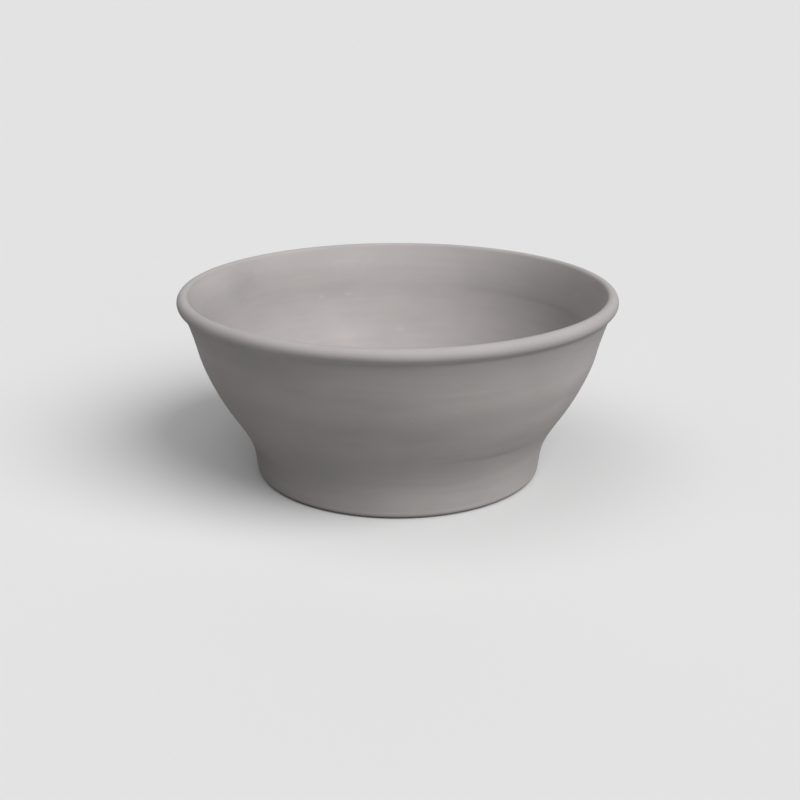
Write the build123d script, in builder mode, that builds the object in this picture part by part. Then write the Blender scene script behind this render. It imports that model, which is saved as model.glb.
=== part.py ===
"""Clay bowl planter: a thrown and fired clay bowl, a rubber drain plug that lifts
out of its base, and four rubber floor pads under its foot ring.

Millimetres, +Z up. The origin is on the floor, under the middle of the bowl.
"""

import os

from build123d import *

# Bowl: overall sizes
rim_diameter = 457.0
rim_height = 196.4
foot_diameter = 304.2
wall_thickness = 10.5
base_thickness = 12.0

# Bowl: rolled lip, a bead of oval section that leans out over the neck
lip_thickness = 13.5
lip_depth = 14.8
lip_underside_start = -52.0
lip_inner_lean = 21.0

# Bowl: places where the outer curve turns. The neck, shoulder and belly are
# measured inwards and down from the rim, the hip and waist outwards and up from
# the foot, and a lean is an angle out from upright.
neck_inset = 7.0
neck_drop = 18.0
neck_lean = 22.0
shoulder_inset = 23.9
shoulder_drop = 71.4
belly_inset = 45.1
belly_drop = 116.4
hip_flare = 12.5
hip_rise = 49.0
waist_flare = 3.6
waist_rise = 26.0
foot_lean = 10.0

# Bowl: foot ring, recess under the base and softened corners
foot_ring_width = 22.0
recess_depth = 5.0
foot_outer_round = 2.5
foot_inner_round = 1.5
recess_corner_round = 3.0
neck_cove_round = 4.0
inner_corner_round = 22.0

# Drain hole and its rubber plug
drain_diameter = 26.0
drain_edge_round = 1.2
plug_fit_clearance = 0.05
rib_height = 2.4
rib_standing = 1.5
rib_spacing = 5.5
rib_edge_round = 0.6
plug_tip_length = 3.0
plug_tip_chamfer = 1.5
flange_overlap = 7.0
flange_thickness = 3.0
flange_edge_round = 1.2

# Pull loop moulded on the plug
loop_width = 21.0
loop_height = 17.0
loop_strap_thickness = 3.4
loop_strap_width = 6.0

# Floor pads
pad_count = 4
pad_thickness = 1.0
pad_margin = 1.0
pad_first_angle = 45.0
pad_edge_round = 0.4

# Heights that the pieces share, all above the floor
foot_bottom = pad_thickness
recess_top = foot_bottom + recess_depth
floor_top = recess_top + base_thickness

# Radii that the pieces share
rim_radius = rim_diameter / 2
foot_radius = foot_diameter / 2
drain_radius = drain_diameter / 2
recess_radius = foot_radius - foot_ring_width


def ring_edges(part, radius, height):
    """Circular edges of a turned part at one radius and height."""
    tolerance = 0.001
    return [
        edge
        for edge in part.edges().filter_by(GeomType.CIRCLE)
        if abs(edge.radius - radius) < tolerance
        and abs(edge.arc_center.Z - height) < tolerance
    ]


def leaning(degrees):
    """Upward direction in the profile that leans outwards by some degrees."""
    return Vector(0, 1, 0).rotate(Axis.Z, -degrees)


def inner_face_point(outer_curve, outer_point):
    """Point of the inner face that lies one wall thickness in from an outer point."""
    upwards = outer_curve % outer_curve.param_at_point(outer_point)
    inwards = upwards.rotate(Axis.Z, 90)
    return outer_point + inwards * wall_thickness


# Bowl, turned from half of its section: X is the radius and Y the height there
foot_corner = Vector(foot_radius, foot_bottom)
waist = Vector(foot_radius + waist_flare, foot_bottom + waist_rise)
hip = Vector(foot_radius + hip_flare, foot_bottom + hip_rise)
belly = Vector(rim_radius - belly_inset, rim_height - belly_drop)
shoulder = Vector(rim_radius - shoulder_inset, rim_height - shoulder_drop)
neck = Vector(rim_radius - neck_inset, rim_height - neck_drop)
lip_centre = Vector(rim_radius - lip_thickness / 2, rim_height - lip_depth / 2)
lip_turn = 180 - lip_inner_lean - lip_underside_start
floor_corner = Vector(foot_radius - wall_thickness, floor_top)

with BuildPart() as bowl:
    with BuildSketch(Plane.XZ):
        with BuildLine():
            outer_wall = Spline(
                foot_corner,
                waist,
                hip,
                belly,
                shoulder,
                neck,
                tangents=(leaning(foot_lean), leaning(neck_lean)),
            )
            lip = EllipticalCenterArc(
                lip_centre,
                lip_thickness / 2,
                lip_depth / 2,
                start_angle=lip_underside_start,
                arc_size=lip_turn,
            )
            Line(outer_wall @ 1, lip @ 0)
            inner_wall = Spline(
                lip @ 1,
                inner_face_point(outer_wall, neck),
                inner_face_point(outer_wall, shoulder),
                inner_face_point(outer_wall, belly),
                inner_face_point(outer_wall, hip),
                inner_face_point(outer_wall, waist),
                floor_corner,
                tangents=(lip % 1, -leaning(foot_lean)),
            )
            Polyline(
                inner_wall @ 1,
                (drain_radius, floor_top),
                (drain_radius, recess_top),
                (recess_radius, recess_top),
                (recess_radius, foot_bottom),
                outer_wall @ 0,
            )
        make_face()
    revolve(axis=Axis.Z)

    fillet(ring_edges(bowl, neck.X, neck.Y), neck_cove_round)
    fillet(ring_edges(bowl, foot_radius, foot_bottom), foot_outer_round)
    fillet(ring_edges(bowl, recess_radius, foot_bottom), foot_inner_round)
    fillet(ring_edges(bowl, recess_radius, recess_top), recess_corner_round)
    fillet(ring_edges(bowl, floor_corner.X, floor_top), inner_corner_round)
    fillet(ring_edges(bowl, drain_radius, floor_top), drain_edge_round)
    fillet(ring_edges(bowl, drain_radius, recess_top), drain_edge_round)
bowl.part.label = "bowl"


# Drain plug: its flange rests on the floor of the bowl and its ribs fit the hole
rib_radius = drain_radius - plug_fit_clearance
stem_radius = rib_radius - rib_standing
stem_bottom = recess_top - plug_tip_length
stem_length = floor_top - stem_bottom
flange_radius = drain_radius + flange_overlap
flange_top = floor_top + flange_thickness
middle_of_base = (recess_top + floor_top) / 2
rib_bottoms = [
    middle_of_base - rib_height / 2 - rib_spacing / 2,
    middle_of_base - rib_height / 2 + rib_spacing / 2,
]
loop_radius = (loop_width - loop_strap_thickness) / 2
loop_root = floor_top + flange_thickness / 2
loop_spring = flange_top + loop_height - loop_width / 2

with BuildPart() as drain_plug:
    with Locations((0, 0, stem_bottom)):
        Cylinder(stem_radius, stem_length, align=(Align.CENTER, Align.CENTER, Align.MIN))
    chamfer(ring_edges(drain_plug, stem_radius, stem_bottom), plug_tip_chamfer)
    for rib_bottom in rib_bottoms:
        with Locations((0, 0, rib_bottom)):
            Cylinder(rib_radius, rib_height, align=(Align.CENTER, Align.CENTER, Align.MIN))
        fillet(ring_edges(drain_plug, rib_radius, rib_bottom), rib_edge_round)
        fillet(ring_edges(drain_plug, rib_radius, rib_bottom + rib_height), rib_edge_round)
    with Locations((0, 0, floor_top)):
        Cylinder(flange_radius, flange_thickness, align=(Align.CENTER, Align.CENTER, Align.MIN))
    fillet(ring_edges(drain_plug, flange_radius, flange_top), flange_edge_round)
    with BuildLine(Plane.XZ):
        first_leg = Line((-loop_radius, loop_root), (-loop_radius, loop_spring))
        arch = JernArc(first_leg @ 1, first_leg % 1, loop_radius, -180)
        Line(arch @ 1, (loop_radius, loop_root))
    with BuildSketch(Plane(origin=(-loop_radius, 0, loop_root))):
        Ellipse(loop_strap_thickness / 2, loop_strap_width / 2)
    sweep()
drain_plug.part.label = "drain_plug"


# Floor pads: stuck under the flat of the foot ring, evenly round it
flat_outer_radius = foot_radius - foot_outer_round
flat_inner_radius = recess_radius + foot_inner_round
pad_ring_radius = (flat_outer_radius + flat_inner_radius) / 2
pad_radius = (flat_outer_radius - flat_inner_radius) / 2 - pad_margin


def floor_pad(number):
    """One round pad; its turn round the foot ring follows from its number."""
    turn = pad_first_angle + (number - 1) * 360 / pad_count
    with BuildPart() as pad:
        with PolarLocations(pad_ring_radius, 1, start_angle=turn):
            Cylinder(pad_radius, pad_thickness, align=(Align.CENTER, Align.CENTER, Align.MIN))
        fillet(ring_edges(pad, pad_radius, 0), pad_edge_round)
    pad.part.label = f"floor_pad_{number}"
    return pad.part


floor_pads = [floor_pad(number) for number in range(1, pad_count + 1)]

os.makedirs("parts", exist_ok=True)
for piece in [bowl.part, drain_plug.part, *floor_pads]:
    export_step(piece, f"parts/{piece.label}.step")
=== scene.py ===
"""Clay bowl planter: a thrown bowl with a rolled lip, its floor pads and its rubber drain plug."""

import math

import bpy
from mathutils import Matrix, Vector


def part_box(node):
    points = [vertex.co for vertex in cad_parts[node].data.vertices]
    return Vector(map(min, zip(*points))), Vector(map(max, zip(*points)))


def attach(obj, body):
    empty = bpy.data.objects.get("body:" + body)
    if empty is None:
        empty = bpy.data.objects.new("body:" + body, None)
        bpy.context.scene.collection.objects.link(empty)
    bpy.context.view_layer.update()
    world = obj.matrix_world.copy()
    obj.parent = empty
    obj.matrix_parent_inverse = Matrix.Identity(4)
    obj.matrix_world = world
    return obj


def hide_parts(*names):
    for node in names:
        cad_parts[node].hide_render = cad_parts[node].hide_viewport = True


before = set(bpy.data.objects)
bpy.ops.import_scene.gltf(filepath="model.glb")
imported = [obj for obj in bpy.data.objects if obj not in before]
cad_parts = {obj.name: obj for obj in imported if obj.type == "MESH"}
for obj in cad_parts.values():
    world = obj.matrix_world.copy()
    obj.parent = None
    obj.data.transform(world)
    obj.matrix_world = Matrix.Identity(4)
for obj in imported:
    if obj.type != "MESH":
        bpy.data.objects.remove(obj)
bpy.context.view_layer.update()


# Bowl. One piece of clay, thrown on a wheel with its lip rolled outwards between finger
# and thumb, and turned over when leather hard to trim the foot and the recess under it.
# It is fired once and left bare: matte warm grey, with soft rings left by fingers and rib.
mm = 0.001
bowl_low, bowl_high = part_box("bowl")
rim_radius = min(bowl_high.x, bowl_high.y)
rim_height = bowl_high.z
foot_bottom = bowl_low.z
foot_radius = 152.1 * mm
wall_thickness = 10.5 * mm


def leaning(degrees):
    """Upward direction in the section that leans outwards by some degrees."""
    return Vector((math.sin(math.radians(degrees)), math.cos(math.radians(degrees))))


def straight(start, end, step):
    """Points about a step apart on a straight line, both ends included."""
    count = max(1, round((end - start).length / step))
    return [start.lerp(end, i / count) for i in range(count + 1)]


def oval(centre, across, up, start, end, step):
    """Points about a step apart on an oval arc, from one angle in degrees to another."""
    count = max(3, round(math.radians(abs(end - start)) * (across + up) / 2 / step))
    angles = [math.radians(start + (end - start) * i / count) for i in range(count + 1)]
    return [centre + Vector((across * math.cos(a), up * math.sin(a))) for a in angles]


def smooth(points, first, last, step):
    """Points about a step apart on one curve through the given ones.

    The curve leaves in the first direction and arrives in the last. Its slopes at the
    points between are settled in rounds, until its bend changes evenly everywhere.
    """
    settling_rounds = 40
    spans = [(b - a).length for a, b in zip(points, points[1:])]
    slopes = [first] * (len(points) - 1) + [last]
    for _ in range(settling_rounds):
        for i in range(1, len(points) - 1):
            before, after = spans[i - 1], spans[i]
            pull_in = (points[i] - points[i - 1]) * 3 * after / before
            pull_out = (points[i + 1] - points[i]) * 3 * before / after
            rest = slopes[i - 1] * after + slopes[i + 1] * before
            slopes[i] = (pull_in + pull_out - rest) / (2 * (before + after))
    run = [points[0]]
    for i, span in enumerate(spans):
        start, end = points[i], points[i + 1]
        handle_out = start + slopes[i] * span / 3
        handle_in = end - slopes[i + 1] * span / 3
        count = max(2, round(span / step))
        for share in (j / count for j in range(1, count + 1)):
            left = 1 - share
            run.append(
                start * left**3
                + handle_out * 3 * left**2 * share
                + handle_in * 3 * left * share**2
                + end * share**3
            )
    return run


# The outer wall, through the places where it turns, from the foot up to the neck
foot_round_in = 2.5 * mm
foot_round_up = 4.2 * mm
foot_lean = 10.0
neck_lean = 22.0
waist = Vector((foot_radius + 3.6 * mm, foot_bottom + 26.0 * mm))
hip = Vector((foot_radius + 12.5 * mm, foot_bottom + 49.0 * mm))
belly = Vector((rim_radius - 45.1 * mm, rim_height - 116.4 * mm))
shoulder = Vector((rim_radius - 23.9 * mm, rim_height - 71.4 * mm))
neck = Vector((rim_radius - 7.0 * mm, rim_height - 18.0 * mm))
wall_step = 1.6 * mm
round_step = 0.7 * mm
foot_rise = foot_round_up * math.tan(math.radians(foot_lean))
foot_turn = -math.degrees(math.atan(foot_rise / foot_round_in))
foot_centre = Vector((foot_radius - foot_round_in + foot_rise / 2, foot_bottom + foot_round_up))
foot_corner = oval(foot_centre, foot_round_in, foot_round_up, -90, foot_turn, round_step)
outer_points = [foot_corner[-1], waist, hip, belly, shoulder, neck]
outer_wall = smooth(outer_points, leaning(foot_lean), leaning(neck_lean), wall_step)

# The rolled lip, an oval bead that leans out over the neck, with a tighter inner corner
lip_width = 12.2 * mm
lip_across = 6.75 * mm
lip_up = 7.4 * mm
lip_start = -52
lip_crest = 90
lip_step = 1.3 * mm
corner_across = 4.4 * mm
corner_up = 4.8 * mm
corner_end = 156
corner_step = 0.6 * mm
lip_centre = Vector((rim_radius - lip_across, rim_height - lip_up))
corner_centre = Vector((rim_radius - lip_width + corner_across, rim_height - corner_up))
lip = oval(lip_centre, lip_across, lip_up, lip_start, lip_crest, lip_step)
lip = lip + oval(corner_centre, corner_across, corner_up, lip_crest, corner_end, corner_step)
cove = smooth([neck, lip[0]], leaning(neck_lean), (lip[1] - lip[0]).normalized(), lip_step)


def pushed_in(run, point):
    """Where a point of the outer wall lands when it goes one wall thickness inwards."""
    nearest = min(range(1, len(run) - 1), key=lambda i: (run[i] - point).length)
    upwards = (run[nearest + 1] - run[nearest - 1]).normalized()
    return point + Vector((-upwards.y, upwards.x)) * wall_thickness


# The inner wall, and the round corner where it meets the floor of the bowl
recess_depth = 5.0 * mm
base_thickness = 12.0 * mm
recess_top = foot_bottom + recess_depth
floor_top = recess_top + base_thickness
floor_round = 22.0 * mm
floor_radius = 126.3 * mm
inner_foot_lean = 19.0
floor_centre = Vector((floor_radius, floor_top + floor_round))
floor_corner = oval(floor_centre, floor_round, floor_round, -inner_foot_lean, -90, wall_step)
inner_points = [pushed_in(outer_wall, point) for point in (neck, shoulder, belly, hip)]
inner_wall = smooth(
    [lip[-1], *inner_points, floor_corner[0]],
    (lip[-1] - lip[-2]).normalized(),
    -leaning(inner_foot_lean),
    wall_step,
)

# The drain hole through the base, and the recess turned out under the foot ring
drain_radius = 13.0 * mm
drain_round = 1.2 * mm
foot_ring_width = 22.0 * mm
recess_radius = foot_radius - foot_ring_width
recess_round = 3.0 * mm
ring_round = 1.5 * mm
floor_step = 2.6 * mm
drain_top_centre = Vector((drain_radius + drain_round, floor_top - drain_round))
drain_foot_centre = Vector((drain_radius + drain_round, recess_top + drain_round))
recess_centre = Vector((recess_radius - recess_round, recess_top - recess_round))
ring_centre = Vector((recess_radius + ring_round, foot_bottom + ring_round))
drain_top = oval(drain_top_centre, drain_round, drain_round, 90, 180, round_step)
drain_foot = oval(drain_foot_centre, drain_round, drain_round, 180, 270, round_step)
recess_corner = oval(recess_centre, recess_round, recess_round, 90, 0, round_step)
ring_corner = oval(ring_centre, ring_round, ring_round, 180, 270, round_step)


class Run:
    """One stretch of a section and how the hand left it.

    Marks says how strongly the fingers ringed it, and sway how far it may go out of true.
    Side is 1 on the outside of the bowl, -1 on its inside, and 0 where nobody touched it.
    """

    def __init__(self, points, marks=0.0, sway=0.0, side=0.0):
        self.points = points
        self.marks = marks
        self.sway = sway
        self.side = side


bowl_runs = (
    Run(outer_wall, marks=0.5, sway=1.0, side=1.0),
    Run(cove, sway=1.0, side=1.0),
    Run(lip, sway=1.0),
    Run(inner_wall, marks=1.0, sway=1.0, side=-1.0),
    Run(floor_corner, marks=1.0, sway=1.0, side=-1.0),
    Run(straight(floor_corner[-1], drain_top[0], floor_step), marks=1.0, side=-1.0),
    Run(drain_top),
    Run(straight(drain_top[-1], drain_foot[0], floor_step)),
    Run(drain_foot),
    Run(straight(drain_foot[-1], recess_corner[0], floor_step), marks=0.5),
    Run(recess_corner),
    Run(straight(recess_corner[-1], ring_corner[0], floor_step)),
    Run(ring_corner),
    Run(straight(ring_corner[-1], foot_corner[0], floor_step)),
    Run(foot_corner),
)


def section_mesh(name, runs):
    """Half a section as a mesh of points in the XZ plane, each with its marks and its place
    along the section. It closes on itself, or else starts and ends on the upright axis.
    """
    points = []
    kept = {"along": [], "marks": [], "sway": [], "side": []}
    along = 0.0
    for run in runs:
        is_last = run is runs[-1] and run.points[-1].x == 0
        for point, after in zip(run.points, run.points[1:] + [run.points[-1]] * is_last):
            points.append((point.x, 0, point.y))
            kept["along"].append(along)
            kept["marks"].append(run.marks)
            kept["sway"].append(run.sway * point.y / rim_height)
            kept["side"].append(run.side)
            along += (after - point).length
    mesh = bpy.data.meshes.new(name)
    mesh.from_pydata(points, [], [])
    for attribute, values in kept.items():
        mesh.attributes.new(attribute, "FLOAT", "POINT").data.foreach_set("value", values)
    return mesh


class Wire:
    """What one output of a node carries. Sums of wires and numbers become Math nodes."""

    def __init__(self, tree, socket):
        self.tree = tree
        self.socket = socket

    def math(self, operation, *others):
        """This wire and the others through one Math node."""
        feeds = dict(enumerate((self, *others)))
        return add(self.tree, "ShaderNodeMath", feeds, operation=operation)

    def __add__(self, other):
        return self.math("ADD", other)

    def __sub__(self, other):
        return self.math("SUBTRACT", other)

    def __mul__(self, other):
        return self.math("MULTIPLY", other)

    def __truediv__(self, other):
        return self.math("DIVIDE", other)

    def __mod__(self, other):
        return self.math("MODULO", other)


def add(tree, kind, feeds=(), output=0, **settings):
    """Add a node and give back one of its outputs.

    Feeds gives its inputs by name or number, each a wire or a value.
    """
    node = tree.nodes.new(kind)
    for name, setting in settings.items():
        setattr(node, name, setting)
    for key, feed in dict(feeds).items():
        if isinstance(feed, Wire):
            tree.links.new(feed.socket, node.inputs[key])
        else:
            node.inputs[key].default_value = feed
    return Wire(tree, node.outputs[output])


def vector_math(tree, operation, *feeds, **named):
    """Vectors through one Vector Math node."""
    feeds = dict(enumerate(feeds)) | named
    return add(tree, "ShaderNodeVectorMath", feeds, operation=operation)


def new_group(kind, name, inputs, outputs):
    """A node group with its named inputs and outputs, and a wire from each input."""
    tree = bpy.data.node_groups.new(name, kind)
    for label, (socket, value) in inputs.items():
        made = tree.interface.new_socket(label, in_out="INPUT", socket_type=socket)
        if value is not None:
            made.default_value = value
    for label, socket in outputs.items():
        tree.interface.new_socket(label, in_out="OUTPUT", socket_type=socket)
    entry = tree.nodes.new("NodeGroupInput")
    return tree, {label: Wire(tree, entry.outputs[label]) for label in inputs}


def send_out(tree, **results):
    """Send wires out of a group through the outputs of those names."""
    way_out = tree.nodes.new("NodeGroupOutput")
    for label, wire in results.items():
        tree.links.new(wire.socket, way_out.inputs[label.title()])


def use_group(tree, group, output, **values):
    """Place a group in a tree, set or feed its inputs, and give back one of its outputs."""
    node = tree.nodes.new(tree.bl_idname.replace("Tree", "Group"))
    node.node_tree = group
    for label, value in values.items():
        socket = node.inputs[label.replace("_", " ").title()]
        if isinstance(value, Wire):
            tree.links.new(value.socket, socket)
        else:
            socket.default_value = value
    return Wire(tree, node.outputs[output])


def finish_piece(tree, made, material):
    """End a tree with real geometry, smooth shading and the piece's material."""
    made = add(tree, "GeometryNodeSetShadeSmooth", {"Geometry": made})
    made = add(tree, "GeometryNodeRealizeInstances", {"Geometry": made})
    feeds = {"Geometry": made, "Material": material}
    send_out(tree, made=add(tree, "GeometryNodeSetMaterial", feeds))


def wheel_group():
    """Turns a section about the upright axis and leaves the marks of the hand on it."""
    tree, given = new_group(
        "GeometryNodeTree",
        "Turn on the wheel",
        {
            "Section": ("NodeSocketGeometry", None),
            "Steps Round": ("NodeSocketInt", 72),
            "Closed": ("NodeSocketInt", 0),
            "Ring Spacing": ("NodeSocketFloat", 10 * mm),
            "Ring Depth": ("NodeSocketFloat", 0.0),
            "Sway": ("NodeSocketFloat", 0.0),
            "Material": ("NodeSocketMaterial", None),
        },
        {"Made": "NodeSocketGeometry"},
    )
    points = add(tree, "GeometryNodeAttributeDomainSize", {"Geometry": given["Section"]})
    rows = points + given["Closed"]
    columns = given["Steps Round"] + 1
    turned = add(tree, "GeometryNodeMeshGrid", {"Vertices X": columns, "Vertices Y": rows})
    index = add(tree, "GeometryNodeInputIndex")
    row = index % rows % points
    turn = (index / rows).math("FLOOR") * math.tau / given["Steps Round"]

    def of_row(value, kind):
        """A value that the section has at this row."""
        feeds = {"Geometry": given["Section"], "Value": value, "Index": row}
        return add(tree, "GeometryNodeSampleIndex", feeds, data_type=kind)

    def kept(name):
        """A value that the section holds at each of its points."""
        return add(tree, "GeometryNodeInputNamedAttribute", {"Name": name})

    for name in ("along", "marks", "sway", "side"):
        feeds = {"Geometry": turned, "Name": name, "Value": of_row(kept(name), "FLOAT")}
        turned = add(tree, "GeometryNodeStoreNamedAttribute", feeds)
    spot = add(tree, "GeometryNodeInputPosition")
    feeds = {"Vector": of_row(spot, "FLOAT_VECTOR"), "Angle": turn}
    around = add(tree, "ShaderNodeVectorRotate", feeds, rotation_type="Z_AXIS")
    turned = add(tree, "GeometryNodeSetPosition", {"Geometry": turned, "Position": around})
    turned = add(tree, "GeometryNodeMergeByDistance", {"Geometry": turned, "Distance": 0.001 * mm})

    def slow_noise(scale):
        """Noise from 0 to 1 that changes slowly over the piece."""
        return add(tree, "ShaderNodeTexNoise", {"Vector": spot, "Scale": scale, "Detail": 1.0})

    x = add(tree, "ShaderNodeSeparateXYZ", {0: spot}, "X")
    y = add(tree, "ShaderNodeSeparateXYZ", {0: spot}, "Y")
    spiral = kept("along") / given["Ring Spacing"] * math.tau + y.math("ARCTAN2", x)
    pressure = slow_noise(9) * 1.8 - 0.4
    rise = spiral.math("SINE") * pressure * given["Ring Depth"] * kept("marks")
    normal = add(tree, "GeometryNodeInputNormal")
    push = vector_math(tree, "SCALE", normal, Scale=rise)
    turned = add(tree, "GeometryNodeSetPosition", {"Geometry": turned, "Offset": push})

    inwards = vector_math(tree, "NORMALIZE", vector_math(tree, "MULTIPLY", spot, (-1, -1, 0)))
    inwards = vector_math(tree, "ADD", inwards, (0, 0, -0.7))
    amount = slow_noise(3) * given["Sway"] * kept("sway")
    shift = vector_math(tree, "SCALE", inwards, Scale=amount)
    turned = add(tree, "GeometryNodeSetPosition", {"Geometry": turned, "Offset": shift})
    finish_piece(tree, turned, given["Material"])
    return tree


def made_by(tree, name, mesh, **sizes):
    """A piece that a tree makes from a mesh, as a plain mesh with no modifier left on it."""
    piece = bpy.data.objects.new(name, mesh)
    bpy.context.scene.collection.objects.link(piece)
    modifier = piece.modifiers.new(tree.name, "NODES")
    modifier.node_group = tree
    for label, value in sizes.items():
        socket = tree.interface.items_tree[label.replace("_", " ").title()]
        modifier[socket.identifier] = value
    evaluated = piece.evaluated_get(bpy.context.evaluated_depsgraph_get())
    finished = bpy.data.meshes.new_from_object(evaluated)
    piece.modifiers.remove(modifier)
    piece.data = finished
    finished.name = name
    return piece


def new_material(name, colour, roughness):
    """A material at one plain colour and roughness, with its tree and its shader."""
    material = bpy.data.materials.new(name)
    material.use_nodes = True
    shader = material.node_tree.nodes["Principled BSDF"]
    shader.inputs["Base Color"].default_value = (*colour, 1)
    shader.inputs["Roughness"].default_value = roughness
    return material, material.node_tree, shader


def feed_shader(shader, name, wire):
    """Join a wire to one input of a material's shader."""
    wire.tree.links.new(wire.socket, shader.inputs[name])


def mixed(tree, share, first, second, kind="MIX"):
    """Colour that goes from the first to the second as the share goes from 0 to 1."""
    feeds = {0: share, 6: first, 7: second}
    return add(tree, "ShaderNodeMix", feeds, 2, data_type="RGBA", blend_type=kind)


def grain_group():
    """Fine grain of a fired or moulded surface: its height, and how pale each spot is."""
    tree, given = new_group(
        "ShaderNodeTree",
        "Fine grain",
        {"Vector": ("NodeSocketVector", None), "Size": ("NodeSocketFloat", 0.5 * mm)},
        {"Height": "NodeSocketFloat", "Tone": "NodeSocketFloat"},
    )
    scale = given["Size"].math("POWER", -1.0)
    fine = {"Vector": given["Vector"], "Scale": scale, "Detail": 3.0, "Roughness": 0.6}
    coarse = {"Vector": given["Vector"], "Scale": scale * 0.3, "Detail": 2.0}
    send_out(
        tree,
        height=add(tree, "ShaderNodeTexNoise", fine),
        tone=add(tree, "ShaderNodeTexNoise", coarse),
    )
    return tree


def dust_group():
    """Dust that settles on whatever faces up, in patches: a mask from 0 to 1."""
    tree, given = new_group(
        "ShaderNodeTree",
        "Settled dust",
        {
            "Vector": ("NodeSocketVector", None),
            "Patch Size": ("NodeSocketFloat", 30 * mm),
            "Amount": ("NodeSocketFloat", 0.5),
        },
        {"Mask": "NodeSocketFloat"},
    )
    facing = add(tree, "ShaderNodeNewGeometry", output="Normal")
    up = add(tree, "ShaderNodeSeparateXYZ", {0: facing}, "Z").math("MAXIMUM", 0.0)
    scale = given["Patch Size"].math("POWER", -1.0)
    noise = {"Vector": given["Vector"], "Scale": scale, "Detail": 4.0, "Roughness": 0.55}
    patches = add(tree, "ShaderNodeTexNoise", noise)
    feeds = {"Value": patches, "From Min": 0.4, "From Max": 0.7}
    patches = add(tree, "ShaderNodeMapRange", feeds)
    send_out(tree, mask=up * patches * given["Amount"])
    return tree


grain = grain_group()
dust = dust_group()


def patch_group():
    """A soft paler or darker patch on a wall, mostly painted light and shade, partly the clay's own
    uneven tone.

    Its turn is the way that it faces, in degrees from the front towards the right.
    """
    tree, given = new_group(
        "ShaderNodeTree",
        "Light and shade patch",
        {
            "Vector": ("NodeSocketVector", None),
            "Turn": ("NodeSocketFloat", 0.0),
            "Spread": ("NodeSocketFloat", 20.0),
            "Height": ("NodeSocketFloat", 100 * mm),
            "Reach": ("NodeSocketFloat", 20 * mm),
            "Paler": ("NodeSocketFloat", 0.05),
        },
        {"Tone": "NodeSocketFloat"},
    )
    x, y, z = (add(tree, "ShaderNodeSeparateXYZ", {0: given["Vector"]}, axis) for axis in "XYZ")
    noise = {"Vector": given["Vector"], "Scale": 28.0, "Detail": 3.0}
    torn = add(tree, "ShaderNodeTexNoise", noise) - 0.5
    facing = x.math("ARCTAN2", y * -1.0).math("DEGREES")
    round_off = (facing - given["Turn"]).math("WRAP", 180.0, -180.0) / given["Spread"]
    up_off = (z - given["Height"]) / given["Reach"] + torn * 1.2
    strength = ((round_off * round_off + up_off * up_off) * -1.0).math("EXPONENT")
    send_out(tree, tone=strength * given["Paler"])
    return tree


# Patches of painted light and shade, partly the clay's own uneven tone, on the outside and the
# inside.
outer_patches = (
    dict(turn=-5, spread=32, height=107 * mm, reach=16 * mm, paler=-0.09),
    dict(turn=6, spread=12, height=96 * mm, reach=9 * mm, paler=-0.05),
    dict(turn=-12, spread=16, height=140 * mm, reach=11 * mm, paler=-0.07),
    dict(turn=-30, spread=16, height=165 * mm, reach=18 * mm, paler=-0.06),
    dict(turn=-33, spread=4, height=64 * mm, reach=8 * mm, paler=-0.06),
    dict(turn=-27, spread=22, height=27 * mm, reach=17 * mm, paler=-0.07),
    dict(turn=47, spread=18, height=103 * mm, reach=9 * mm, paler=0.11),
    dict(turn=18, spread=9, height=147 * mm, reach=2.5 * mm, paler=0.08),
    dict(turn=64, spread=16, height=150 * mm, reach=34 * mm, paler=0.14),
    dict(turn=-68, spread=14, height=150 * mm, reach=32 * mm, paler=0.17),
    dict(turn=-66, spread=14, height=36 * mm, reach=14 * mm, paler=-0.08),
    dict(turn=-4, spread=24, height=140 * mm, reach=32 * mm, paler=-0.04),
    dict(turn=58, spread=20, height=85 * mm, reach=90 * mm, paler=0.07),
    dict(turn=38, spread=20, height=40 * mm, reach=18 * mm, paler=0.05),
    dict(turn=150, spread=35, height=95 * mm, reach=20 * mm, paler=-0.08),
    dict(turn=-130, spread=30, height=120 * mm, reach=14 * mm, paler=0.07),
)
inner_patches = (
    dict(turn=203, spread=11, height=98 * mm, reach=18 * mm, paler=0.09),
    dict(turn=150, spread=15, height=112 * mm, reach=26 * mm, paler=0.06),
    dict(turn=165, spread=16, height=174 * mm, reach=17 * mm, paler=0.11),
    dict(turn=195, spread=10, height=180 * mm, reach=12 * mm, paler=0.08),
    dict(turn=230, spread=20, height=155 * mm, reach=34 * mm, paler=-0.06),
    dict(turn=203, spread=11, height=147 * mm, reach=8 * mm, paler=-0.06),
    dict(turn=172, spread=7, height=112 * mm, reach=7 * mm, paler=-0.06),
    dict(turn=112, spread=20, height=135 * mm, reach=14 * mm, paler=-0.10),
    dict(turn=116, spread=15, height=155 * mm, reach=22 * mm, paler=-0.07),
    dict(turn=112, spread=12, height=78 * mm, reach=14 * mm, paler=0.08),
    dict(turn=166, spread=28, height=125 * mm, reach=50 * mm, paler=0.03),
    dict(turn=240, spread=14, height=172 * mm, reach=16 * mm, paler=-0.07),
    dict(turn=197.5, spread=1.4, height=141 * mm, reach=1.6 * mm, paler=0.13),
    dict(turn=207.5, spread=0.8, height=141 * mm, reach=2 * mm, paler=0.13),
    dict(turn=179, spread=1.6, height=98 * mm, reach=2.5 * mm, paler=0.09),
    dict(turn=262, spread=22, height=186 * mm, reach=16 * mm, paler=0.14),
    dict(turn=20, spread=35, height=110 * mm, reach=25 * mm, paler=-0.07),
)


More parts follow.
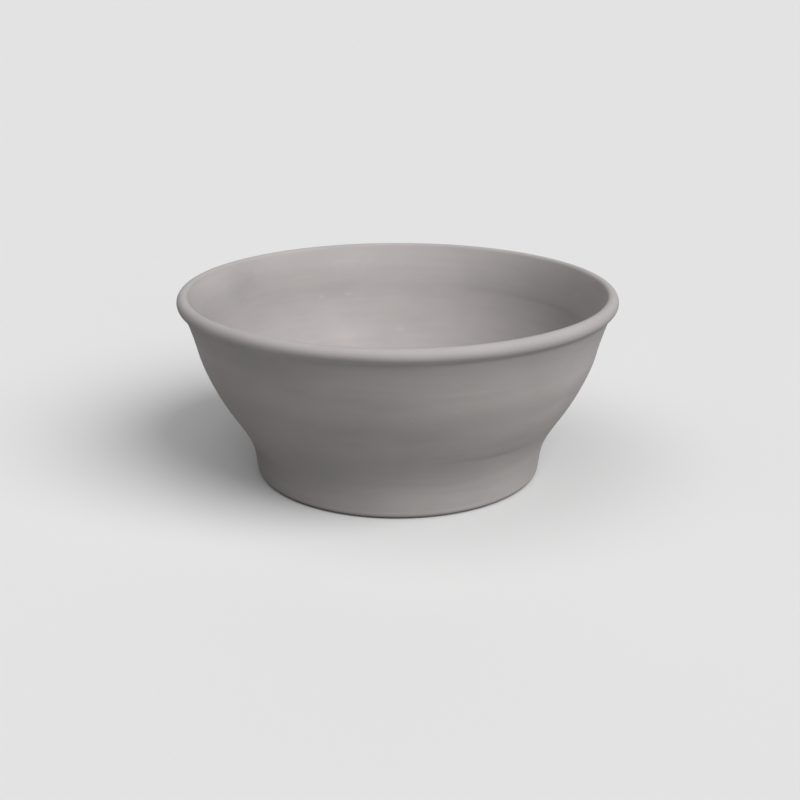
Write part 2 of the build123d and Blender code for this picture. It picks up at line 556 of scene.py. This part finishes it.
def clay_material():
    """Bare fired clay: cloudy grey, drawn into streaks by the wheel, with grain and grit, and painted
    light and shade.
    """
    clay_grey = (0.416, 0.392, 0.386)
    dust_grey = (0.56, 0.54, 0.53)
    material, tree, shader = new_material("Fired clay", clay_grey, 0.88)
    shader.inputs["Specular IOR Level"].default_value = 0.2
    spot = add(tree, "ShaderNodeTexCoord", output="Object")
    along = add(tree, "ShaderNodeAttribute", output="Fac", attribute_name="along")
    x = add(tree, "ShaderNodeSeparateXYZ", {0: spot}, "X")
    y = add(tree, "ShaderNodeSeparateXYZ", {0: spot}, "Y")

    def streaks(length, width):
        """Noise from 0 to 1, long in the direction of the wheel and narrow across it."""
        drawn = {"X": x / length, "Y": y / length, "Z": along / width}
        drawn = add(tree, "ShaderNodeCombineXYZ", drawn)
        return add(tree, "ShaderNodeTexNoise", {"Vector": drawn, "Scale": 1.0, "Detail": 2.0})

    long_streaks = streaks(110 * mm, 14 * mm)
    broad_streaks = streaks(60 * mm, 7 * mm)
    fine_streaks = streaks(35 * mm, 1.6 * mm)
    clouds = add(tree, "ShaderNodeTexNoise", {"Vector": spot, "Scale": 22.0, "Detail": 4.0})
    fine_height = use_group(tree, grain, "Height", vector=spot, size=0.45 * mm)
    fine_tone = use_group(tree, grain, "Tone", vector=spot, size=0.45 * mm)

    patch = patch_group()
    side = add(tree, "ShaderNodeAttribute", output="Fac", attribute_name="side")
    value = clouds * 0.14 + long_streaks * 0.10 + broad_streaks * 0.05
    value = value + fine_streaks * 0.03 + fine_tone * 0.05 + 0.815
    # Painted light and shade in patches, partly the clay's own tone, on each side of the wall.
    for patches, on_side in ((outer_patches, side), (inner_patches, side * -1.0)):
        for place in patches:
            tone = use_group(tree, patch, "Tone", vector=spot, **place)
            value = value + tone * on_side.math("MAXIMUM", 0.0)
    dusty = use_group(tree, dust, "Mask", vector=spot, patch_size=35 * mm, amount=0.12)
    specks = add(tree, "ShaderNodeTexVoronoi", {"Vector": spot, "Scale": 45.0}, "Distance")
    specks = add(tree, "ShaderNodeMapRange", {"Value": specks, "From Min": 0.05, "From Max": 0.03})

    def line_at(height, reach):
        """1 along a level line round the bowl, falling to 0 above and below it."""
        off = (add(tree, "ShaderNodeSeparateXYZ", {0: spot}, "Z") - height) / reach
        return (off * off * -1.0).math("EXPONENT")

    # Painted shade: the foot's lower edge grows darker towards the floor, a little unevenly with the
    # clouds.
    foot_edge_shade = line_at(foot_bottom, 2.1 * mm) * (clouds * 0.4 + 0.35)
    # Painted highlight: a faint paler line round the outside, just above the foot's round corner.
    foot_edge_highlight = line_at(foot_bottom + 5.6 * mm, 1.6 * mm) * 0.09 * side.math("MAXIMUM", 0.0)
    value = (value + foot_edge_highlight) * (foot_edge_shade * -1.0 + 1.0)
    warmth = add(tree, "ShaderNodeTexNoise", {"Vector": spot, "Scale": 13.0, "Detail": 3.0}) - 0.5
    cool = value * (warmth * (side * 0.05 + 0.08) * -1.0 + 1.0)
    shade = add(tree, "ShaderNodeCombineColor", {0: value, 1: value, 2: cool})
    clay = mixed(tree, 1.0, (*clay_grey, 1), shade, "MULTIPLY")
    clay = mixed(tree, dusty, clay, (*dust_grey, 1))
    feed_shader(shader, "Base Color", mixed(tree, specks * 0.35, clay, (*dust_grey, 1)))
    feed_shader(shader, "Roughness", dusty * 0.5 + fine_tone * 0.12 + 0.8)

    height = long_streaks * 0.12 + broad_streaks * 0.06 + fine_streaks * 0.02 + fine_height * 0.03
    height = height - specks * 0.05
    feeds = {"Height": height * mm, "Strength": 1.0, "Distance": 1.0}
    feed_shader(shader, "Normal", add(tree, "ShaderNodeBump", feeds))
    return material


def finger_group():
    """One long mark that a finger drew round the wall: how far it stands proud at each point.

    Its turn is the way that its middle faces, in degrees from the front towards the right.
    """
    tree, given = new_group(
        "GeometryNodeTree",
        "Finger mark",
        {
            "Turn": ("NodeSocketFloat", 0.0),
            "Spread": ("NodeSocketFloat", 40.0),
            "Height": ("NodeSocketFloat", 100 * mm),
            "Climb": ("NodeSocketFloat", 0.0),
            "Above": ("NodeSocketFloat", 5 * mm),
            "Below": ("NodeSocketFloat", 5 * mm),
            "Proud": ("NodeSocketFloat", 0.5 * mm),
        },
        {"Rise": "NodeSocketFloat"},
    )
    spot = add(tree, "GeometryNodeInputPosition")
    x, y, z = (add(tree, "ShaderNodeSeparateXYZ", {0: spot}, axis) for axis in "XYZ")
    facing = x.math("ARCTAN2", y * -1.0).math("DEGREES")
    round_off = (facing - given["Turn"]).math("WRAP", 180.0, -180.0)
    fade = round_off / given["Spread"]
    up_off = z - given["Height"] - given["Climb"] * round_off
    is_above = up_off.math("GREATER_THAN", 0.0)
    reach = (given["Above"] - given["Below"]) * is_above + given["Below"]
    fall = up_off / reach
    strength = ((fade * fade + fall * fall) * -1.0).math("EXPONENT")
    send_out(tree, rise=strength * given["Proud"])
    return tree


outer_marks = (
    dict(turn=55, spread=38, height=131 * mm, above=9 * mm, below=24 * mm, proud=0.8 * mm),
    dict(turn=-70, spread=32, height=134 * mm, above=14 * mm, below=24 * mm, proud=0.6 * mm),
    dict(turn=170, spread=70, height=128 * mm, above=12 * mm, below=20 * mm, proud=0.7 * mm),
    dict(
        turn=34,
        spread=15,
        height=62 * mm,
        climb=-0.13 * mm,
        above=3 * mm,
        below=7 * mm,
        proud=-0.55 * mm,
    ),
    dict(turn=45, spread=38, height=30 * mm, above=9 * mm, below=16 * mm, proud=0.3 * mm),
    dict(turn=200, spread=60, height=52 * mm, above=5 * mm, below=12 * mm, proud=-0.4 * mm),
    dict(turn=-25, spread=35, height=181 * mm, above=5 * mm, below=6 * mm, proud=0.9 * mm),
)
inner_marks = (
    dict(turn=120, spread=36, height=147 * mm, above=4 * mm, below=18 * mm, proud=-0.6 * mm),
    dict(turn=185, spread=45, height=148 * mm, above=7 * mm, below=16 * mm, proud=-0.3 * mm),
    dict(turn=-20, spread=60, height=140 * mm, above=6 * mm, below=18 * mm, proud=-0.6 * mm),
    dict(turn=90, spread=70, height=64 * mm, above=8 * mm, below=14 * mm, proud=0.5 * mm),
    dict(turn=-120, spread=60, height=88 * mm, above=6 * mm, below=12 * mm, proud=0.4 * mm),
)
rim_dip = dict(turn=0, spread=32, height=rim_height, above=9 * mm, below=9 * mm, proud=-0.9 * mm)


def throwing_group():
    """Turns the bowl and draws the potter's longer finger marks on both sides of its wall.

    Last, the top of the lip sinks a little on the side where the potter's thumb lay on it.
    """
    tree, given = new_group(
        "GeometryNodeTree",
        "Throw the bowl",
        {
            "Section": ("NodeSocketGeometry", None),
            "Steps Round": ("NodeSocketInt", 240),
            "Ring Spacing": ("NodeSocketFloat", 10 * mm),
            "Ring Depth": ("NodeSocketFloat", 0.05 * mm),
            "Sway": ("NodeSocketFloat", 0.3 * mm),
            "Material": ("NodeSocketMaterial", None),
        },
        {"Made": "NodeSocketGeometry"},
    )
    sizes = {label.lower().replace(" ", "_"): wire for label, wire in given.items()}
    turned = use_group(tree, wheel, "Made", closed=1, **sizes)
    side = add(tree, "GeometryNodeInputNamedAttribute", {"Name": "side"})
    finger = finger_group()
    for marks, touched in ((outer_marks, side), (inner_marks, side * -1.0)):
        rises = [use_group(tree, finger, "Rise", **mark) for mark in marks]
        rise = sum(rises[1:], rises[0]) * touched.math("MAXIMUM", 0.0)
        normal = add(tree, "GeometryNodeInputNormal")
        push = vector_math(tree, "SCALE", normal, Scale=rise)
        turned = add(tree, "GeometryNodeSetPosition", {"Geometry": turned, "Offset": push})
    sunk = use_group(tree, finger, "Rise", **rim_dip)
    drop = add(tree, "ShaderNodeCombineXYZ", {"Z": sunk})
    turned = add(tree, "GeometryNodeSetPosition", {"Geometry": turned, "Offset": drop})
    finish_piece(tree, turned, given["Material"])
    return tree


wheel = wheel_group()
bowl = made_by(
    throwing_group(),
    "clay_bowl",
    section_mesh("bowl section", bowl_runs),
    steps_round=240,
    ring_spacing=11 * mm,
    ring_depth=0.04 * mm,
    sway=0.3 * mm,
    material=clay_material(),
)
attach(bowl, "bowl")
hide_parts("bowl")


# Floor pads. Four round pads of black rubber, punched from sheet and stuck under the foot
# ring, so that the fired clay neither scratches the floor nor draws damp from it.
pad_count = 4
pad_low, pad_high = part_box("floor_pad_1")
pad_radius = (pad_high.x - pad_low.x) / 2
pad_thickness = pad_high.z
pad_centre = (pad_low.xy + pad_high.xy) / 2
pad_bottom_round = 0.4 * mm
pad_top_round = 0.15 * mm
pad_step = 0.15 * mm
pad_face_step = 0.9 * mm
pad_bottom_centre = Vector((pad_radius - pad_bottom_round, pad_bottom_round))
pad_top_centre = Vector((pad_radius - pad_top_round, pad_thickness - pad_top_round))
pad_bottom = oval(pad_bottom_centre, pad_bottom_round, pad_bottom_round, -90, 0, pad_step)
pad_top = oval(pad_top_centre, pad_top_round, pad_top_round, 0, 90, pad_step)
pad_runs = (
    Run(straight(Vector((0, 0)), pad_bottom[0], pad_face_step)),
    Run(pad_bottom),
    Run(straight(pad_bottom[-1], pad_top[0], pad_step)),
    Run(pad_top),
    Run(straight(pad_top[-1], Vector((0, pad_thickness)), pad_face_step)),
)


def pads_group():
    """Sets equal pads on a ring, each one turned from the same section."""
    tree, given = new_group(
        "GeometryNodeTree",
        "Stick under the foot",
        {
            "Section": ("NodeSocketGeometry", None),
            "Count": ("NodeSocketInt", 4),
            "Ring Radius": ("NodeSocketFloat", 140 * mm),
            "First Turn": ("NodeSocketFloat", 0.0),
            "Material": ("NodeSocketMaterial", None),
        },
        {"Made": "NodeSocketGeometry"},
    )
    ring = {"Vertices": given["Count"], "Radius": given["Ring Radius"]}
    ring = add(tree, "GeometryNodeMeshCircle", ring)
    turn = add(tree, "ShaderNodeCombineXYZ", {"Z": given["First Turn"]})
    ring = add(tree, "GeometryNodeTransform", {"Geometry": ring, "Rotation": turn})
    pad = use_group(tree, wheel, "Made", section=given["Section"])
    pads = add(tree, "GeometryNodeInstanceOnPoints", {"Points": ring, "Instance": pad})
    finish_piece(tree, pads, given["Material"])
    return tree


def rubber_material(name, colour, roughness, dust_amount):
    """Moulded or punched rubber: even dark colour, fine grain and some dust."""
    material, tree, shader = new_material(name, colour, roughness)
    spot = add(tree, "ShaderNodeTexCoord", output="Object")
    fine_height = use_group(tree, grain, "Height", vector=spot, size=0.25 * mm)
    fine_tone = use_group(tree, grain, "Tone", vector=spot, size=0.25 * mm)
    dusty = use_group(tree, dust, "Mask", vector=spot, patch_size=9 * mm, amount=dust_amount)
    paler = tuple(part * 1.5 for part in colour)
    rubber = mixed(tree, fine_tone, (*colour, 1), (*paler, 1))
    clay_dust = (0.42, 0.40, 0.39, 1)
    feed_shader(shader, "Base Color", mixed(tree, dusty, rubber, clay_dust))
    feed_shader(shader, "Roughness", dusty * 0.3 + fine_tone * 0.1 + roughness)
    feeds = {"Height": fine_height * 0.02 * mm, "Strength": 1.0, "Distance": 1.0}
    feed_shader(shader, "Normal", add(tree, "ShaderNodeBump", feeds))
    return material


pads = made_by(
    pads_group(),
    "rubber_pads",
    section_mesh("pad section", pad_runs),
    count=pad_count,
    ring_radius=pad_centre.length,
    first_turn=math.atan2(pad_centre.y, pad_centre.x),
    material=rubber_material(
        "Pad rubber",
        colour=(0.018, 0.018, 0.019),
        roughness=0.62,
        dust_amount=0.3,
    ),
)
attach(pads, "bowl")
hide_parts(*(f"floor_pad_{number}" for number in range(1, pad_count + 1)))


# Drain plug. One soft moulding of dark rubber: a stem with two rounded ribs that grip the
# hole, a flange that lies on the floor of the bowl, and a loop to pull it out by.
plug_low, plug_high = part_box("drain_plug")
plug_bottom = plug_low.z
plug_top = plug_high.z
flange_radius = plug_high.x
flange_thickness = 3.0 * mm
fit_clearance = 0.05 * mm
rib_standing = 1.5 * mm
flange_top = floor_top + flange_thickness
rib_radius = drain_radius - fit_clearance
stem_radius = rib_radius - rib_standing
rib_half_height = 1.2 * mm
rib_spacing = 5.5 * mm
tip_round = 1.5 * mm
flange_edge_round = 0.9 * mm
crown_radius = 14.0 * mm
plug_step = 0.4 * mm
middle_of_base = (recess_top + floor_top) / 2
tip_centre = Vector((stem_radius - tip_round, plug_bottom + tip_round))
tip = oval(tip_centre, tip_round, tip_round, -90, 0, plug_step)
edge_centre = Vector((flange_radius - flange_edge_round, floor_top + flange_edge_round))
flange_edge = oval(edge_centre, flange_edge_round, flange_edge_round, -90, 75, plug_step / 2)
crown = smooth(
    [flange_edge[-1], Vector((crown_radius, flange_top))],
    (flange_edge[-1] - flange_edge[-2]).normalized(),
    Vector((-1, 0)),
    plug_step,
)


def rib(side):
    """One rounded rib on the stem, below or above the middle of the base."""
    centre = Vector((stem_radius, middle_of_base + side * rib_spacing / 2))
    return oval(centre, rib_radius - stem_radius, rib_half_height, -90, 90, plug_step / 2)


lower_rib, upper_rib = rib(-1), rib(1)
under_flange = Vector((stem_radius, floor_top))
plug_runs = (
    Run(straight(Vector((0, plug_bottom)), tip[0], plug_step)),
    Run(tip),
    Run(straight(tip[-1], lower_rib[0], plug_step)),
    Run(lower_rib),
    Run(straight(lower_rib[-1], upper_rib[0], plug_step)),
    Run(upper_rib),
    Run(straight(upper_rib[-1], under_flange, plug_step)),
    Run(straight(under_flange, flange_edge[0], plug_step)),
    Run(flange_edge),
    Run(crown),
    Run(straight(crown[-1], Vector((0, flange_top)), plug_step)),
)

# The pull loop: two upright legs and an arch, rooted in the flange
strap_thickness = 3.4 * mm
strap_width = 6.0 * mm
loop_radius = 8.8 * mm
root_depth = 1.5 * mm
root_round = 1.3 * mm
loop_spring = plug_top - loop_radius - strap_thickness / 2
left_root = Vector((-loop_radius, flange_top - root_depth))
right_root = Vector((loop_radius, flange_top - root_depth))
arch = oval(Vector((0, loop_spring)), loop_radius, loop_radius, 180, 0, plug_step)
loop_line = straight(left_root, arch[0], plug_step)[:-1] + arch
loop_line = loop_line + straight(arch[-1], right_root, plug_step)[1:]


def plug_group():
    """Turns the plug and joins its pull loop to it, with a rounded root at each leg."""
    tree, given = new_group(
        "GeometryNodeTree",
        "Mould the plug",
        {
            "Section": ("NodeSocketGeometry", None),
            "Loop Line": ("NodeSocketObject", None),
            "Strap Thickness": ("NodeSocketFloat", 3 * mm),
            "Strap Width": ("NodeSocketFloat", 6 * mm),
            "Root Height": ("NodeSocketFloat", 0.0),
            "Root Round": ("NodeSocketFloat", 1 * mm),
            "Material": ("NodeSocketMaterial", None),
        },
        {"Made": "NodeSocketGeometry"},
    )
    turned = use_group(tree, wheel, "Made", section=given["Section"], steps_round=96)
    line = add(tree, "GeometryNodeObjectInfo", {"Object": given["Loop Line"]}, "Geometry")
    line = add(tree, "GeometryNodeMeshToCurve", {"Mesh": line})
    strap = add(tree, "GeometryNodeCurvePrimitiveCircle", {"Resolution": 40, "Radius": 0.5})
    shape = {"X": given["Strap Thickness"], "Y": given["Strap Width"], "Z": 1.0}
    shape = add(tree, "ShaderNodeCombineXYZ", shape)
    strap = add(tree, "GeometryNodeTransform", {"Geometry": strap, "Scale": shape})
    spot = add(tree, "GeometryNodeInputPosition")
    height = add(tree, "ShaderNodeSeparateXYZ", {0: spot}, "Z") - given["Root Height"]
    left = (height / given["Root Round"]).math("MAXIMUM", 0.0).math("MINIMUM", 1.0) * -1.0 + 1.0
    flare = (left * left * -1.0 + 1.0).math("SQRT") * -1.0 + 1.0
    scale = flare * given["Root Round"] * 2.0 / given["Strap Thickness"] + 1.0
    feeds = {"Curve": line, "Profile Curve": strap, "Scale": scale, "Fill Caps": True}
    loop = add(tree, "GeometryNodeCurveToMesh", feeds)
    both = add(tree, "GeometryNodeMeshBoolean", {1: turned}, operation="UNION", solver="EXACT")
    tree.links.new(loop.socket, both.socket.node.inputs[1])
    finish_piece(tree, both, given["Material"])
    return tree


def line_object(name, points):
    """An object that holds one open line in the XZ plane."""
    mesh = bpy.data.meshes.new(name)
    edges = [(i, i + 1) for i in range(len(points) - 1)]
    mesh.from_pydata([(point.x, 0, point.y) for point in points], edges, [])
    line = bpy.data.objects.new(name, mesh)
    bpy.context.scene.collection.objects.link(line)
    return line


loop_object = line_object("loop line", loop_line)
plug = made_by(
    plug_group(),
    "rubber_plug",
    section_mesh("plug section", plug_runs),
    loop_line=loop_object,
    strap_thickness=strap_thickness,
    strap_width=strap_width,
    root_height=flange_top,
    root_round=root_round,
    material=rubber_material(
        "Plug rubber",
        colour=(0.03, 0.03, 0.032),
        roughness=0.5,
        dust_amount=0.12,
    ),
)
bpy.data.objects.remove(loop_object)
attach(plug, "plug")
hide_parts("drain_plug")


# Floor and light. A plain pale floor that runs into an even pale background. One large soft
# lamp stands high on the right, towards the front, so that the bowl's shadow falls to the
# left and fades out softly, and four weak wide lamps fill in from the other sides.
def seen_straight(tree):
    """1 for what the camera sees, straight or in a reflection, and 0 for light on its way."""
    rays = [
        add(tree, "ShaderNodeLightPath", output=f"Is {kind} Ray")
        for kind in ("Camera", "Glossy", "Transmission")
    ]
    return rays[0].math("MAXIMUM", rays[1]).math("MAXIMUM", rays[2])


pale = (0.768, 0.768, 0.768)
floor_bounce = (0.3, 0.3, 0.3)
floor_reach = 60.0
floor_mesh = bpy.data.meshes.new("floor")
corners = [(x * floor_reach, y * floor_reach, 0) for x, y in ((-1, -1), (1, -1), (1, 1), (-1, 1))]
floor_mesh.from_pydata(corners, [], [(0, 1, 2, 3)])
floor = bpy.data.objects.new("floor", floor_mesh)
bpy.context.scene.collection.objects.link(floor)
floor_paint, floor_tree, floor_shader = new_material("Pale floor", pale, 1.0)
floor_colour = mixed(floor_tree, seen_straight(floor_tree), (*floor_bounce, 1), (*pale, 1))
feed_shader(floor_shader, "Base Color", floor_colour)
floor_shader.inputs["Specular IOR Level"].default_value = 0.0
floor_mesh.materials.append(floor_paint)

sky_light = 0.02
world = bpy.data.worlds.new("Studio")
world.use_nodes = True
sky = world.node_tree.nodes["Background"].inputs["Color"]
sky_colour = mixed(world.node_tree, seen_straight(world.node_tree), (*[sky_light] * 3, 1), (*pale, 1))
world.node_tree.links.new(sky_colour.socket, sky)
bpy.context.scene.world = world


def soft_lamp(name, turn, height, softness, strength):
    """A far lamp. Turn goes clockwise from the back, and all three angles are in degrees."""
    level = math.cos(math.radians(height))
    away = Vector((
        level * math.sin(math.radians(turn)),
        level * math.cos(math.radians(turn)),
        math.sin(math.radians(height)),
    ))
    light = bpy.data.lights.new(name, "SUN")
    light.energy = strength
    light.angle = math.radians(softness)
    lamp = bpy.data.objects.new(name, light)
    lamp.rotation_euler = away.to_track_quat("Z", "Y").to_euler()
    bpy.context.scene.collection.objects.link(lamp)


soft_lamp("key lamp", turn=130, height=46, softness=45, strength=2.52)
soft_lamp("high lamp", turn=225, height=75, softness=60, strength=0.86)
soft_lamp("left lamp", turn=265, height=50, softness=60, strength=0.25)
soft_lamp("front lamp", turn=170, height=12, softness=50, strength=0.68)
soft_lamp("back lamp", turn=0, height=30, softness=50, strength=0.18)

camera_right = 2.3 * mm
camera_back = 1224.6 * mm
camera_height = 498.6 * mm
camera_pitch_down = 19.25
camera_data = bpy.data.cameras.new("camera")
camera_data.lens = 54.07
camera = bpy.data.objects.new("camera", camera_data)
camera.location = (camera_right, -camera_back, camera_height)
camera.rotation_euler = (math.radians(90 - camera_pitch_down), 0, 0)
bpy.context.scene.collection.objects.link(camera)
bpy.context.scene.camera = camera
bpy.context.scene.view_settings.view_transform = "Standard"
